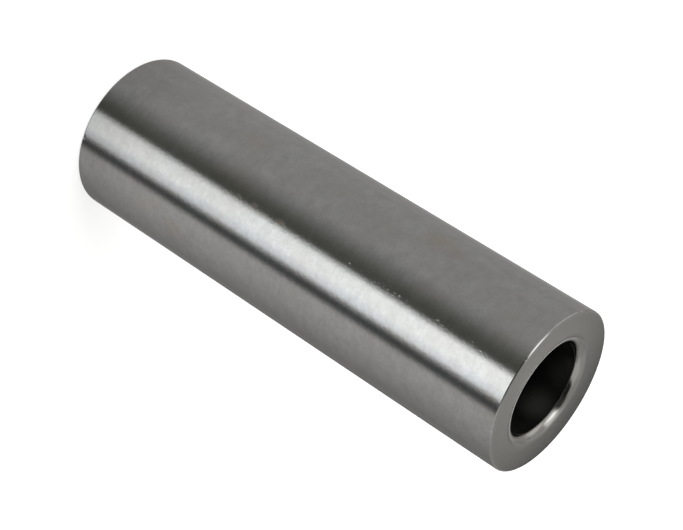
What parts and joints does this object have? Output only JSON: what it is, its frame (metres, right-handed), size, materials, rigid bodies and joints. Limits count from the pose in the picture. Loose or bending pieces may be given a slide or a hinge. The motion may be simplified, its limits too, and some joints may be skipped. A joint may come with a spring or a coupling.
{
  "type": "gudgeon pin",
  "caption": "Thick-walled hollow steel gudgeon pin with a ground outside, a plain through bore with rounded mouths, and lightly broken outer edges.",
  "frame": {"origin": "centre of the flat of the lower end, on the axis of the pin", "axes": "+Z along the axis of the pin, from the lower end to the upper end; X and Y are alike, because the pin is round"},
  "size_m": [0.025, 0.025, 0.08],
  "materials": {
    "ground_steel": "ground and lapped"
  },
  "bodies": {
    "root": {"gudgeon_pin": "ground_steel"}
  },
  "joints": []
}
